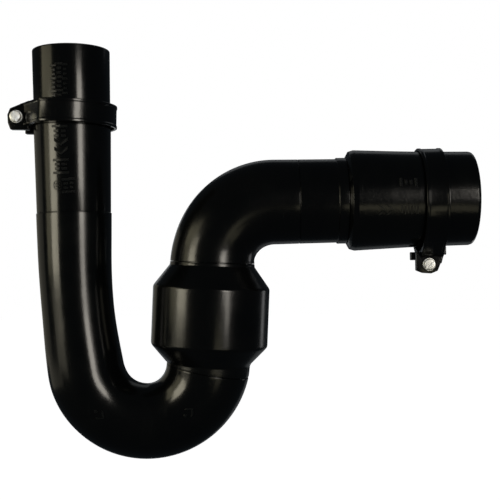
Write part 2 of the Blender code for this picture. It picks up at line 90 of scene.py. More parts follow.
# Joints between the mouldings
TONGUE_LENGTH = 4.0 * MM
TONGUE_WALL = 1.2 * MM
WALL = 3.0 * MM
BEND_LENGTH = 207.4 * MM
CHAMBER_LENGTH = 67.8 * MM
ELBOW_TAIL = 15.5 * MM
HUB_LENGTH = 78.6 * MM

# Bores and the chamber
INLET_BORE = 20.0 * MM
NECK_BORE = 23.1 * MM
ELBOW_BORE = 23.4 * MM
TUBE_BORE = 23.2 * MM
INLET_SEAT_BORE = 21.6 * MM    # the sockets' seats for their sleeves
INLET_SEAT_DEPTH = 42 * MM
OUTLET_STOP_BORE = 25.0 * MM
OUTLET_SEAT_BORE = 26.6 * MM
OUTLET_SEAT_DEPTH = 45 * MM
NECK_RADIUS = 26.1 * MM
CHAMBER_BASE = 16.0 * MM
CHAMBER_TOP = 52.5 * MM
CHAMBER_RADIUS = 36.6 * MM
COLLAR_LENGTH = 6.2 * MM
COLLAR_RADIUS = 26.9 * MM
SLEEVE_INSET = 1.0 * MM        # sleeve ends inside the mouth and short of the seat's end
SLEEVE_RIBS = (0.25, 0.5, 0.75)
RIB_HALF_WIDTH = 1.6 * MM


class Centreline:
    """Lines and arcs in the XZ plane, read by distance from the inlet mouth."""

    def __init__(self):
        self.spans = []
        self.point = Vector((0.0, 0.0))
        self.heading = -math.pi / 2
        self.length = 0.0

    def line(self, length):
        self.spans.append((self.length, length, self.point.copy(), self.heading, 0.0))
        self.point += length * Vector((math.cos(self.heading), math.sin(self.heading)))
        self.length += length

    def arc(self, radius, turn):
        """A positive turn goes anticlockwise in the XZ plane, seen from -Y."""
        length = radius * abs(turn)
        self.spans.append((self.length, length, self.point.copy(), self.heading, turn / length))
        self.point, self.heading = self.read(self.length + length)
        self.length += length

    def read(self, distance):
        """Point and heading at a distance; the end spans run on straight."""
        start, length, point, heading, curvature = self.spans[0]
        for span in self.spans:
            if distance >= span[0] - 1e-9:
                start, length, point, heading, curvature = span
        run = distance - start
        if curvature == 0.0:
            return point + run * Vector((math.cos(heading), math.sin(heading))), heading
        end = heading + curvature * run
        across = (math.sin(end) - math.sin(heading)) / curvature
        rise = (math.cos(heading) - math.cos(end)) / curvature
        return point + Vector((across, rise)), end

    def rings_between(self, low, high):
        """Distances of the extra rings that a bend needs between two points."""
        extra = []
        for start, length, _, _, curvature in self.spans:
            first = max(low, start)
            last = min(high, start + length)
            if curvature == 0.0 or last - first < 1e-6:
                continue
            run = last - first
            count = math.ceil(max(abs(curvature) * run / ARC_STEP, run / RUN_STEP))
            extra += [first + run * step / count for step in range(count + 1)]
        return [s for s in extra if low + 0.2 * MM < s < high - 0.2 * MM]


def trap_centreline():
    line = Centreline()
    line.line(INLET_DROP)
    line.arc(LEG_RADIUS, LEG_LEAN)
    line.arc(BEND_RADIUS, math.pi - LEG_LEAN - CHAMBER_LEAN)
    elbow_start = -OUTLET_DROP - ELBOW_RADIUS * (1 - math.sin(CHAMBER_LEAN))
    line.line((elbow_start - line.point.y) / math.cos(CHAMBER_LEAN))
    line.arc(ELBOW_RADIUS, -(math.pi / 2 - CHAMBER_LEAN))
    line.line(OUTLET_REACH - line.point.x)
    return line


PATH = trap_centreline()
SEAM_1 = -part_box("inlet_tube")[0].z - TONGUE_LENGTH
SEAM_2 = SEAM_1 + BEND_LENGTH
SEAM_3 = SEAM_2 + CHAMBER_LENGTH
SEAM_4 = PATH.spans[-1][0] + ELBOW_TAIL
SEAM_5 = PATH.length - HUB_LENGTH
MOUTH = PATH.length


# Outlines: lists of (distance, radius), or (distance, radius, fillet) where a
# corner is rounded

def soften(points, steps=4):
    """Round each corner of a closed outline that carries a fillet. A result is
    (distance, radius, index of the corner that it comes from)."""
    result = []
    count = len(points)
    for i, point in enumerate(points):
        if len(point) == 2:
            result.append((*point, i))
            continue
        corner = Vector(point[:2])
        back = Vector(points[i - 1][:2]) - corner
        ahead = Vector(points[(i + 1) % count][:2]) - corner
        half = back.angle(ahead) / 2
        reach = min(point[2] / math.tan(half), 0.48 * back.length, 0.48 * ahead.length)
        start = corner + back.normalized() * reach
        end = corner + ahead.normalized() * reach
        finer = steps if point[2] < 1 * MM else 3 * steps
        for step in range(finer + 1):
            t = step / finer
            spot = (1 - t) ** 2 * start + 2 * t * (1 - t) * corner + t ** 2 * end
            result.append((spot.x, spot.y, i))
    return result


def flowing(points, step=4 * MM):
    """Carry a smooth curve through (distance, radius) points."""
    result = []
    last = len(points) - 1
    for i in range(last):
        (s0, r0), (s1, r1) = points[i], points[i + 1]
        before = points[max(i - 1, 0)]
        after = points[min(i + 2, last)]
        slope0 = (r1 - before[1]) / (s1 - before[0])
        slope1 = (after[1] - r0) / (after[0] - s0)
        run = s1 - s0
        count = max(1, round(run / step))
        for k in range(count):
            t = k / count
            radius = (2 * t ** 3 - 3 * t ** 2 + 1) * r0 + (t ** 3 - 2 * t ** 2 + t) * run * slope0
            radius += (3 * t ** 2 - 2 * t ** 3) * r1 + (t ** 3 - t ** 2) * run * slope1
            result.append((s0 + run * t, radius))
    result.append(points[-1])
    return result


def follow_bends(loop):
    """Add rings where a stretch of the outline runs along a bend."""
    full = []
    for (s, r, corner), (s_next, r_next, _) in zip(loop, loop[1:] + loop[:1]):
        full.append((s, r, corner))
        low, high = sorted((s, s_next))
        extra = PATH.rings_between(low, high)
        if s_next < s:
            extra.reverse()
        full += [(e, r + (r_next - r) * (e - s) / (s_next - s), corner) for e in extra]
    return full


def ring_points():
    """(angle, on the parting ridge) of each point round a ring."""
    points = []
    for i in range(SIDES):
        angle = 2 * math.pi * i / SIDES
        if i % (SIDES // 2):
            points.append((angle, 0.0))
        else:
            points += [(angle - RIDGE_FOOT, 0.0), (angle - RIDGE_TOP, 1.0),
                       (angle + RIDGE_TOP, 1.0), (angle + RIDGE_FOOT, 0.0)]
    return points


RING_POINTS = ring_points()


def on_path(distance, radius, angle):
    """A point at an angle round the centreline; 0 is on the side that a left
    turn bends towards, and -90 degrees is on the -Y side."""
    centre, heading = PATH.read(distance)
    across = Vector((-math.sin(heading), 0.0, math.cos(heading)))
    offset = across * math.cos(angle) + Vector((0.0, math.sin(angle), 0.0))
    return Vector((centre.x, 0.0, centre.y)) + radius * offset


def add_object(name, bm, material, sharp=35):
    bmesh.ops.recalc_face_normals(bm, faces=bm.faces)
    mesh = bpy.data.meshes.new(name)
    bm.to_mesh(mesh)
    bm.free()
    mesh.materials.append(material)
    mesh.shade_smooth()
    mesh.set_sharp_from_angle(angle=math.radians(sharp))
    thing = bpy.data.objects.new(name, mesh)
    bpy.context.collection.objects.link(thing)
    return thing


def bridge_rings(bm, rings):
    """Join a closed chain of equal rings into one skin."""
    for ring, following in zip(rings, rings[1:] + rings[:1]):
        count = len(ring)
        for i in range(count):
            j = (i + 1) % count
            bm.faces.new((ring[i], ring[j], following[j], following[i]))


def tube_on_path(name, outer, inner, material, ridge=RIDGE_HEIGHT):
    """A hollow moulding from its outer and inner outlines, both from the
    upstream end to the downstream end. The parting ridge is on the outside."""
    bm = bmesh.new()
    rings = []
    for s, r, corner in follow_bends(soften(outer + inner[::-1])):
        height = ridge if corner < len(outer) else 0.0
        rings.append([bm.verts.new(on_path(s, r + on_ridge * height, angle))
                      for angle, on_ridge in RING_POINTS])
    bridge_rings(bm, rings)
    return add_object(name, bm, material)


# Body mouldings

def tongue(seam, bore):
    """Outer points of the upstream piece's tongue, after its end face."""
    radius = bore + TONGUE_WALL
    return [(seam, radius), (seam + TONGUE_LENGTH, radius)]


def rebate(seam, bore):
    """Inner points of the downstream piece round that tongue."""
    radius = bore + TONGUE_WALL + GAP
    floor = seam + TONGUE_LENGTH + GAP
    return [(seam + GAP, radius), (floor, radius), (floor, bore)]


INLET_OUTSIDE = [(0.0, 24.05 * MM), (38.3 * MM, 23.7 * MM), (39.9 * MM, 24.05 * MM),
                 (SEAM_1, 23.0 * MM)]
BEND_OUTSIDE = [(SEAM_1 + GAP, 23.4 * MM), (SEAM_1 + 60 * MM, 22.4 * MM),
                (SEAM_1 + 103 * MM, 23.8 * MM), (SEAM_1 + 132 * MM, 23.4 * MM),
                (SEAM_1 + 168 * MM, 23.8 * MM), (SEAM_2, NECK_RADIUS)]
HUB_OUTSIDE = [(SEAM_5 + 5.0 * MM, 31.5 * MM), (MOUTH - 37 * MM, 30.0 * MM),
               (MOUTH - 1.8 * MM, 29.3 * MM)]


def inlet_tube(material):
    (_, mouth), (step, waist), (step_end, shoulder), (_, end) = INLET_OUTSIDE
    outer = [(0.0, mouth, 0.9 * MM), (step, waist, 1.2 * MM), (step_end, shoulder, 0.6 * MM),
             (SEAM_1, end, 0.3 * MM)]
    inner = [(0.0, INLET_SEAT_BORE, 0.5 * MM), (INLET_SEAT_DEPTH, INLET_SEAT_BORE),
             (INLET_SEAT_DEPTH, INLET_BORE, 0.5 * MM), (SEAM_1 + TONGUE_LENGTH, INLET_BORE)]
    outer += tongue(SEAM_1, INLET_BORE)
    return tube_on_path("inlet_tube_moulding", outer, inner, material)


def return_bend(material):
    curve = flowing(BEND_OUTSIDE)
    outer = [(*curve[0], 0.3 * MM)] + curve[1:-1] + [(*curve[-1], 0.35 * MM)]
    inner = rebate(SEAM_1, INLET_BORE) + [(s, r - WALL) for s, r in curve[3:-1]]
    inner.append((SEAM_2 + TONGUE_LENGTH, NECK_BORE))
    return tube_on_path("return_bend_moulding", outer + tongue(SEAM_2, NECK_BORE), inner, material)


def seal_chamber(material):
    base = SEAM_2 + CHAMBER_BASE
    top = SEAM_2 + CHAMBER_TOP
    radius = CHAMBER_RADIUS
    neck_low = SEAM_2 + 4.5 * MM
    neck_high = SEAM_3 - 2.0 * MM
    outer = [(SEAM_2 + GAP, NECK_RADIUS, 0.35 * MM), (neck_low, NECK_RADIUS, 1.5 * MM),
             (base, radius, 4 * MM), (top, radius, 4 * MM), (neck_high, 26.7 * MM, 1.5 * MM),
             (SEAM_3, 26.5 * MM, 0.3 * MM)]
    inner = rebate(SEAM_2, NECK_BORE)
    inner += [(neck_low + 1.5 * MM, NECK_BORE, 1.5 * MM),
              (base + 1.2 * MM, radius - WALL, 3 * MM),
              (top - 1.2 * MM, radius - WALL, 3 * MM),
              (neck_high - 1.5 * MM, NECK_BORE, 1.5 * MM),
              (SEAM_3 + TONGUE_LENGTH, NECK_BORE)]
    return tube_on_path("seal_chamber_moulding", outer + tongue(SEAM_3, NECK_BORE), inner, material)


def outlet_elbow(material):
    middle = PATH.spans[-1][0] - 8 * MM
    curve = flowing([(SEAM_3 + GAP, 26.5 * MM), (SEAM_3 + 10 * MM, 26.0 * MM),
                     (middle, 26.6 * MM), (SEAM_4, 26.4 * MM)])
    outer = [(*curve[0], 0.3 * MM)] + curve[1:-1] + [(*curve[-1], 0.3 * MM)]
    inner = rebate(SEAM_3, NECK_BORE)
    inner += [(middle, 23.6 * MM), (SEAM_4 + TONGUE_LENGTH, ELBOW_BORE)]
    outer += tongue(SEAM_4, ELBOW_BORE)
    return tube_on_path("outlet_elbow_moulding", outer, inner, material)


def outlet_tube(material):
    collar = SEAM_5 - COLLAR_LENGTH
    outer = [(SEAM_4 + GAP, 26.4 * MM, 0.3 * MM), (collar, 26.2 * MM, 0.4 * MM),
             (collar + 0.5 * MM, COLLAR_RADIUS, 0.3 * MM), (SEAM_5, COLLAR_RADIUS, 0.3 * MM)]
    inner = rebate(SEAM_4, ELBOW_BORE) + [(SEAM_5 + TONGUE_LENGTH, TUBE_BORE)]
    outer += tongue(SEAM_5, TUBE_BORE)
    return tube_on_path("outlet_tube_moulding", outer, inner, material)


def outlet_socket(material):
    (shoulder, _), _, _ = HUB_OUTSIDE
    stop = shoulder + 2.5 * MM
    seat = MOUTH - OUTLET_SEAT_DEPTH
    wide = flowing(HUB_OUTSIDE)
    outer = [(SEAM_5 + GAP, 27.6 * MM, 0.3 * MM), (SEAM_5 + 1.9 * MM, 30.6 * MM, 0.5 * MM)]
    outer += [(*wide[0], 1.5 * MM)] + wide[1:-1] + [(*wide[-1], 1.2 * MM)]
    outer += [(MOUTH - 0.6 * MM, 28.9 * MM, 0.4 * MM), (MOUTH, 28.3 * MM, 0.3 * MM)]
    inner = rebate(SEAM_5, TUBE_BORE)
    inner += [(stop, TUBE_BORE, 0.4 * MM), (stop, OUTLET_STOP_BORE),
              (seat, OUTLET_STOP_BORE, 0.4 * MM), (seat, OUTLET_SEAT_BORE),
              (MOUTH, OUTLET_SEAT_BORE, 0.5 * MM)]
    return tube_on_path("outlet_socket_moulding", outer, inner, material)


def seal_sleeve(name, start, end, outside, bore, material):
    """Elastomer liner with three rounded sealing ribs in its bore."""
    lip = bore + 0.6 * MM
    foot = bore + 0.7 * MM
    ribbed = [(start, lip, 0.5 * MM)]
    for share in SLEEVE_RIBS:
        middle = start + (end - start) * share
        ribbed += [(middle - RIB_HALF_WIDTH, foot), (middle, bore, 0.9 * MM),
                   (middle + RIB_HALF_WIDTH, foot)]
    ribbed.append((end, lip, 0.5 * MM))
    outer = [(start, outside, 0.4 * MM), (end, outside, 0.4 * MM)]
    return tube_on_path(name, outer, ribbed, material, ridge=0.0)


# Raised marks of the mould

def radius_at(outline, distance):
    for (s, r), (s_next, r_next) in zip(outline, outline[1:]):
        if s <= distance <= s_next:
            return r + (r_next - r) * (distance - s) / (s_next - s)
    return outline[-1][1]


def inset(shape, depth):
    """Move each side of an anticlockwise outline inwards by a depth."""
    count = len(shape)
    moved = []
    for i, corner in enumerate(shape):
        corner = Vector(corner)
        back = (corner - Vector(shape[i - 1])).normalized()
        ahead = (Vector(shape[(i + 1) % count]) - corner).normalized()
        across = Vector((-back.y - ahead.y, back.x + ahead.x))
        across /= max(0.3, 1 + back.dot(ahead))
        moved.append(tuple(corner + across * depth))
    return moved


def rectangle(u, v, long, wide):
    return [(u - long / 2, v - wide / 2), (u + long / 2, v - wide / 2),
            (u + long / 2, v + wide / 2), (u - long / 2, v + wide / 2)]


def chevron(u, v, long, wide, stroke):
    """A V that points along +u."""
    tip = u + long / 2
    tail = u - long / 2
    return [(tail, v - wide / 2), (tail + stroke, v - wide / 2), (tip, v),
            (tail + stroke, v + wide / 2), (tail, v + wide / 2), (tip - stroke, v)]


def disc(u, v, radius, sides):
    return [(u + radius * math.cos(2 * math.pi * i / sides),
             v + radius * math.sin(2 * math.pi * i / sides)) for i in range(sides)]


MARK_HEIGHT = 0.5 * MM
MARK_ROOT = 0.5 * MM
MARK_SLOPE = 0.2 * MM
RING_SIDES = 28


def raised_marks(name, outline, distance, angle, shapes, rings, material):
    """Low generic shapes standing on a moulding. Shapes are outlines of (run
    along the centreline, way round the tube) about a centre; rings are
    (u, v, radius, stroke)."""
    bm = bmesh.new()
    skin = radius_at(outline, distance)

    def loop(shape, height):
        return [bm.verts.new(on_path(distance + u, radius_at(outline, distance + u) + height,
                                     angle - math.pi / 2 + v / skin)) for u, v in shape]

    for shape in shapes:
        root = loop(shape, -MARK_ROOT)
        edge = loop(shape, MARK_HEIGHT - MARK_SLOPE)
        top = loop(inset(shape, MARK_SLOPE), MARK_HEIGHT)
        bridge = (root, edge, top)
        for ring, following in zip(bridge, bridge[1:]):
            for i in range(len(ring)):
                j = (i + 1) % len(ring)
                bm.faces.new((ring[i], ring[j], following[j], following[i]))
        bm.faces.new(root)
        bm.faces.new(top)
    for u, v, radius, stroke in rings:
        low, high = MARK_HEIGHT - MARK_SLOPE, MARK_HEIGHT
        profile = ((radius, -MARK_ROOT), (radius, low), (radius - MARK_SLOPE, high),
                   (radius - stroke + MARK_SLOPE, high), (radius - stroke, low),
                   (radius - stroke, -MARK_ROOT))
        loops = [loop(disc(u, v, r, RING_SIDES), height) for r, height in profile]
        bridge_rings(bm, loops)
    return add_object(name, bm, material, sharp=25)


def ladder(start, count, pitch, v, long, wide):
    """A scale of short bars, every third one longer."""
    return [rectangle(start + i * pitch, v, long, wide * (1.0 if i % 3 else 1.8))
            for i in range(count)]


def inlet_marks(material):
    """An insertion scale above the band; flow chevrons, more scales and a
    dotted ring below it."""
    scale = ladder(-9.0 * MM, 8, 2.6 * MM, -3.4 * MM, 1.3 * MM, 2.2 * MM)
    scale += ladder(-10.0 * MM, 8, 2.7 * MM, 0.4 * MM, 1.4 * MM, 2.6 * MM)
    scale += ladder(-9.5 * MM, 7, 2.9 * MM, 3.9 * MM, 1.3 * MM, 1.8 * MM)
    above = raised_marks("inlet_scale_marks", INLET_OUTSIDE, 22.5 * MM, math.radians(-8),
                         scale, [], material)
    shapes = ladder(-15.9 * MM, 3, 2.9 * MM, -2.2 * MM, 1.4 * MM, 3.0 * MM)
    shapes += ladder(-15.7 * MM, 3, 2.9 * MM, 2.4 * MM, 1.4 * MM, 2.6 * MM)
    for u in (-6.5, -1.0):
        shapes.append(chevron(u * MM, 0.6 * MM, 5.0 * MM, 8.4 * MM, 2.2 * MM))
    shapes += ladder(4.6 * MM, 4, 2.6 * MM, -2.0 * MM, 1.5 * MM, 3.0 * MM)
    shapes += ladder(4.6 * MM, 4, 2.6 * MM, 2.4 * MM, 1.5 * MM, 3.2 * MM)
    shapes += ladder(16.5 * MM, 4, 2.5 * MM, 3.1 * MM, 1.4 * MM, 2.6 * MM)
    shapes += ladder(16.0 * MM, 4, 2.6 * MM, 6.7 * MM, 1.4 * MM, 2.0 * MM)
    centre = (19.8 * MM, -2.2 * MM)
    dots = 6
    orbit = 1.3 * MM
    for i in range(dots):
        turn = 2 * math.pi * i / dots
        shapes.append(disc(centre[0] + orbit * math.cos(turn),
                           centre[1] + orbit * math.sin(turn), 0.5 * MM, 8))
    below = raised_marks("inlet_flow_marks", INLET_OUTSIDE, 66 * MM, math.radians(-8),
                         shapes, [(*centre, 3.1 * MM, 0.8 * MM)], material)
    return [above, below]


def bend_marks(material):
    """A small cavity mark on each side of the bend."""
    start, length = PATH.spans[2][:2]
    marks = []
    for name, share in (("bend_mark_left", 0.25), ("bend_mark_right", 0.75)):
        shapes = [chevron(0.0, 0.0, 4.4 * MM, 6.0 * MM, 1.5 * MM),
                  disc(-4.2 * MM, 0.0, 1.0 * MM, 10)]
        marks.append(raised_marks(name, BEND_OUTSIDE, start + length * share, math.radians(-4),
                                  shapes, [], material))
    return marks


def hub_marks(material):
    """Flow chevrons and scales on the outlet socket."""
    upper = ladder(-4.6 * MM, 4, 3.0 * MM, 0.0, 1.7 * MM, 3.0 * MM)
    top = raised_marks("outlet_scale_marks", HUB_OUTSIDE, MOUTH - 43.5 * MM, math.radians(17),
                       upper, [], material)
    shapes = [chevron(-13.5 * MM, 0.0, 4.4 * MM, 6.0 * MM, 1.5 * MM),
              chevron(-8.6 * MM, 0.0, 4.4 * MM, 6.0 * MM, 1.5 * MM)]
    for i in range(6):
        shapes.append(rectangle((-1.2 + 1.9 * i) * MM, (0.5 - i % 2) * MM, 0.85 * MM, 5.2 * MM))
    low = raised_marks("outlet_flow_marks", HUB_OUTSIDE, MOUTH - 46.5 * MM, math.radians(-14),
                       shapes, [], material)
    return [top, low]


# Clamps: the model's dimensions, with lips on the band and a thread on the screw

BAND_WALL = 1.6 * MM
BAND_WIDTH = 14.0 * MM
LIP_WIDTH = 1.5 * MM
LIP_HEIGHT = 0.35 * MM
EAR_GAP = 7.0 * MM
EAR_THICKNESS = 5.0 * MM
EAR_LENGTH = 12.3 * MM
EAR_ROOT_TOP = 8.4 * MM
EAR_TIP_TOP = 3.4 * MM
EAR_BOTTOM = 9.8 * MM
ROOT_BOTTOM = 10.9 * MM
ROOT_LENGTH = 4.0 * MM
REAR_TIP_BOTTOM = 7.4 * MM
TAB_REACH = 11.6 * MM
TAB_LENGTH = 0.9 * MM
TAB_INSET = 0.4 * MM
EAR_INSET = 0.5 * MM
EAR_SHOULDER = 1.6 * MM
EAR_CHEEK = 4.0 * MM
EAR_DRAFT = 0.4 * MM
EAR_HEEL = 2.0 * MM
EAR_BEVEL = 0.45 * MM
TAB_BEVEL = 0.4 * MM
FLANK_REACH = 2.2 * MM
SCREW_OFFSET = 6.6 * MM
SCREW_DROP = 1.9 * MM
SCREW_RADIUS = 2.0 * MM
SCREW_HOLE_RADIUS = 2.4 * MM
SCREW_LENGTH = 20.0 * MM
THREAD_PITCH = 0.7 * MM
THREAD_DEPTH = 0.4 * MM
THREAD_STEPS = 8               # rings in one pitch
HEAD_RADIUS = 3.5 * MM
HEAD_HEIGHT = 2.6 * MM
SLOT_WIDTH = 1.1 * MM
SLOT_DEPTH = 1.2 * MM
WASHER_RADIUS = 4.0 * MM
WASHER_THICKNESS = 0.6 * MM
NUT_SIDE = 7.0 * MM
NUT_THICKNESS = 3.2 * MM
INLET_BAND_BORE = 25.6 * MM
INLET_BAND_SWELL = 3.8 * MM
INLET_BAND_FLANK = math.radians(62.5)
INLET_BAND_SHIFT = 0.7 * MM
INLET_BAND_TILT = math.radians(2.0)
OUTLET_BAND_BORE = 31.5 * MM
OUTLET_BAND_SWELL = 0.0 * MM
OUTLET_BAND_FLANK = math.radians(43)
OUTLET_BAND_HEEL = 29.0 * MM
OUTLET_BAND_SAG = 1.25 * MM
INLET_SLOT_ANGLE = math.radians(110)
OUTLET_SLOT_ANGLE = math.radians(-45)


def prism(outline, low, high, bevel):
    """A solid from an outline in XZ and its two Y faces, its edges rounded."""
    bm = bmesh.new()
    bottom = [bm.verts.new((u, low, v)) for u, v in outline]
    top = [bm.verts.new((u, high, v)) for u, v in outline]
    bm.faces.new(bottom)
    bm.faces.new(top)
    count = len(outline)
    for i in range(count):
        j = (i + 1) % count
        bm.faces.new((bottom[i], bottom[j], top[j], top[i]))
    bmesh.ops.recalc_face_normals(bm, faces=bm.faces)
    if bevel:
        sharp = [edge for edge in bm.edges if edge.calc_face_angle(0.0) > math.radians(20)]
        bmesh.ops.bevel(bm, geom=sharp, offset=bevel, segments=3, profile=0.5,
                        affect="EDGES", clamp_overlap=True)
    return bm


def combine(thing, bm, operation):
    """Join a tool solid to a piece, or cut it out, and keep the result."""
    bmesh.ops.recalc_face_normals(bm, faces=bm.faces)
    mesh = bpy.data.meshes.new("tool")
    bm.to_mesh(mesh)
    bm.free()
    tool = bpy.data.objects.new("tool", mesh)
    bpy.context.collection.objects.link(tool)
    modifier = thing.modifiers.new("combine", "BOOLEAN")
    modifier.operation = operation
    modifier.solver = "EXACT"
    modifier.object = tool
    bpy.context.view_layer.update()
    shaped = bpy.data.meshes.new_from_object(
        thing.evaluated_get(bpy.context.evaluated_depsgraph_get()))
    thing.modifiers.clear()
    old = thing.data
    thing.data = shaped
    bpy.data.objects.remove(tool)
    bpy.data.meshes.remove(old)
    bpy.data.meshes.remove(mesh)


def smooth(thing, sharp=35):
    thing.data.shade_smooth()
    thing.data.set_sharp_from_angle(angle=math.radians(sharp))


def circle(radius, sides):
    return [(radius * math.cos(2 * math.pi * i / sides), radius * math.sin(2 * math.pi * i / sides))
            for i in range(sides)]


def band_section(bore):
    """Closed (radius, height) section: a strap with a rounded lip at each edge."""
    outside = bore + BAND_WALL
    half = BAND_WIDTH / 2
    floor = outside - LIP_HEIGHT
    corner = half - LIP_WIDTH
    foot = corner - 0.5 * MM
    points = [(outside, -half, 0.45 * MM), (outside, -corner, 0.35 * MM),
              (floor, -foot, 0.4 * MM), (floor, foot, 0.4 * MM),
              (outside, corner, 0.35 * MM), (outside, half, 0.45 * MM),
              (bore, half, 0.3 * MM), (bore, -half, 0.3 * MM)]
    return [(r, z) for r, z, _ in soften(points)]


def band_outline(outside, swell, flank, steps):
    """The band's outside seen along its axis: an off-centre round, then a
    straight flank to each ear."""
    radius = outside + swell
    round_part = []
    for i in range(steps + 1):
        angle = (2 * i / steps - 1) * (math.pi - flank)
        reach = math.sqrt(radius ** 2 - (swell * math.sin(angle)) ** 2) - swell * math.cos(angle)
        round_part.append(Vector((reach * math.cos(angle), reach * math.sin(angle))))
    corner = round_part[-1]
    ear_face = EAR_GAP / 2 + EAR_THICKNESS
    along = Vector((-(outside + FLANK_REACH), ear_face)) - corner
    end = corner + along * (EAR_GAP / 2 - corner.y) / along.y
    flank_part = [corner.lerp(end, i / 8) for i in range(1, 9)]
    mirrored = [Vector((p.x, -p.y)) for p in reversed(flank_part)]
    return mirrored + round_part + flank_part


def strap(name, bore, swell, flank, material):
    """The split band round local Z, open towards local -X. The bore's points
    run a little less far round than the outside's, so that both end at the
    split."""
    outside = bore + BAND_WALL
    bm = bmesh.new()
    rings = []
    outline = band_outline(outside, swell, flank, 120)
    end = outline[-1]
    squeeze = (math.pi - math.asin(EAR_GAP / 2 / bore)) / math.atan2(end.y, end.x)
    for outer in outline:
        angle = squeeze * math.atan2(outer.y, outer.x)
        inner = bore * Vector((math.cos(angle), math.sin(angle)))
        out = (outer - inner).normalized()
        ring = []
        for r, z in band_section(bore):
            foot, rise = (outer, r - outside) if r > bore + BAND_WALL / 2 else (inner, r - bore)
            ring.append(bm.verts.new((*(foot + out * rise), z)))
        rings.append(ring)
    for ring, following in zip(rings, rings[1:]):
        for i in range(len(ring)):
            j = (i + 1) % len(ring)
            bm.faces.new((ring[i], ring[j], following[j], following[i]))
    bm.faces.new(rings[0])
    bm.faces.new(rings[-1])
    return add_object(name, bm, material)


def clamp_band(name, bore, swell, flank, heel, mouth_side, material):
    """Band with two ears. The socket's mouth is on the local Z side given as
    1 or -1. Given a heel radius, two tabs beside the band reach in from the
    rear ear to the socket."""
    outside = bore + BAND_WALL
    thing = strap(name, bore, swell, flank, material)
    root = -(bore + EAR_INSET)
    tip = -(outside + EAR_LENGTH)
    near = EAR_GAP / 2
    far = near + EAR_THICKNESS
    shoulder = tip + EAR_SHOULDER
    front = [(root, EAR_ROOT_TOP), (shoulder, EAR_TIP_TOP), (tip, EAR_TIP_TOP - EAR_CHEEK),
             (tip + EAR_DRAFT, EAR_CHEEK - EAR_BOTTOM), (tip + EAR_HEEL, -EAR_BOTTOM),
             (root, -EAR_BOTTOM)]
    step = -(outside + ROOT_LENGTH)
    rear = [(root, EAR_ROOT_TOP), (shoulder, EAR_TIP_TOP), (shoulder, -REAR_TIP_BOTTOM),
            (step, -REAR_TIP_BOTTOM), (step, -ROOT_BOTTOM), (root, -ROOT_BOTTOM)]
    for outline, low, high in ((front, -far, -near), (rear, near, far)):
        shape = [(u, mouth_side * v) for u, v in outline]
        combine(thing, prism(shape, low, high, EAR_BEVEL), "UNION")
    lap = BAND_WIDTH / 2 - TAB_INSET
    for low, high in ((lap, TAB_REACH), (TAB_INSET - ROOT_BOTTOM, -lap)) if heel else ():
        inner, outer = -heel, -(outside + TAB_LENGTH)
        block = [(u, mouth_side * v)
                 for u, v in ((inner, low), (inner, high), (outer, high), (outer, low))]
        combine(thing, prism(block, near + TAB_INSET, far - TAB_INSET, TAB_BEVEL), "UNION")

    screw_x = -(outside + SCREW_OFFSET)
    screw_z = -mouth_side * SCREW_DROP
    hole = [(screw_x + u, screw_z + v) for u, v in circle(SCREW_HOLE_RADIUS, 40)]
    combine(thing, prism(hole, -2 * far, 2 * far, 0.0), "DIFFERENCE")
    reach = NUT_SIDE / 2 + GAP
    pocket = [(screw_x + u * reach, screw_z + v * reach)
              for u, v in ((-1, -1), (1, -1), (1, 1), (-1, 1))]
    combine(thing, prism(pocket, far - NUT_THICKNESS - GAP, 2 * far, 0.0), "DIFFERENCE")
    smooth(thing)
    return thing


def turned_on_y(bm, profile, sides):
    """Skin round local Y through (y, radius, thread depth) points; the thread
    rises by one pitch in a turn."""
    rings = []
    for y, radius, depth in profile:
        ring = []
        for i in range(sides):
            phase = (y / THREAD_PITCH - i / sides) % 1.0
            r = radius - depth * min(1.0, abs(2 * phase - 1) * 1.15)
            angle = 2 * math.pi * i / sides
            ring.append(bm.verts.new((r * math.cos(angle), y, r * math.sin(angle))))
        rings.append(ring)
    for ring, following in zip(rings, rings[1:]):
        for i in range(sides):
            j = (i + 1) % sides
            bm.faces.new((ring[i], ring[j], following[j], following[i]))
    bm.faces.new(rings[0])
    bm.faces.new(rings[-1])


def clamp_screw(name, slot_angle, material):
    """Slotted cheese head screw; local y = 0 is the underside of its head."""
    crown = 0.25 * MM
    face = -HEAD_HEIGHT
    profile = [(face, 1.2 * MM, 0.0), (face + 0.04 * MM, 2.4 * MM, 0.0),
               (face + 0.12 * MM, HEAD_RADIUS - 2 * crown, 0.0),
               (face + 0.2 * MM, HEAD_RADIUS - 1.2 * crown, 0.0),
               (face + 0.36 * MM, HEAD_RADIUS - 0.35 * crown, 0.0),
               (face + 0.6 * MM, HEAD_RADIUS, 0.0), (-0.25 * MM, HEAD_RADIUS, 0.0),
               (0.0, HEAD_RADIUS - 0.25 * MM, 0.0), (0.0, SCREW_RADIUS + 0.1 * MM, 0.0),
               (0.15 * MM, SCREW_RADIUS, 0.0), (1.2 * MM, SCREW_RADIUS, 0.0)]
    start = 1.6 * MM
    steps = round((SCREW_LENGTH - start) / THREAD_PITCH * THREAD_STEPS)
    for i in range(steps + 1):
        y = start + (SCREW_LENGTH - start) * i / steps
        left = SCREW_LENGTH - y
        crest = SCREW_RADIUS - max(0.0, 0.6 * MM - left)
        profile.append((y, crest, min(THREAD_DEPTH, 0.4 * left + 0.05 * MM)))
    bm = bmesh.new()
    turned_on_y(bm, profile, 40)
    thing = add_object(name, bm, material)
    reach = 2 * HEAD_RADIUS
    half = SLOT_WIDTH / 2
    turn = Matrix.Rotation(slot_angle, 2)
    outline = [tuple(turn @ Vector((u * reach, v * half)))
               for u, v in ((-1, -1), (1, -1), (1, 1), (-1, 1))]
    slot = prism(outline, 2 * face, face + SLOT_DEPTH, 0.0)
    combine(thing, slot, "DIFFERENCE")
    smooth(thing, 40)
    return thing


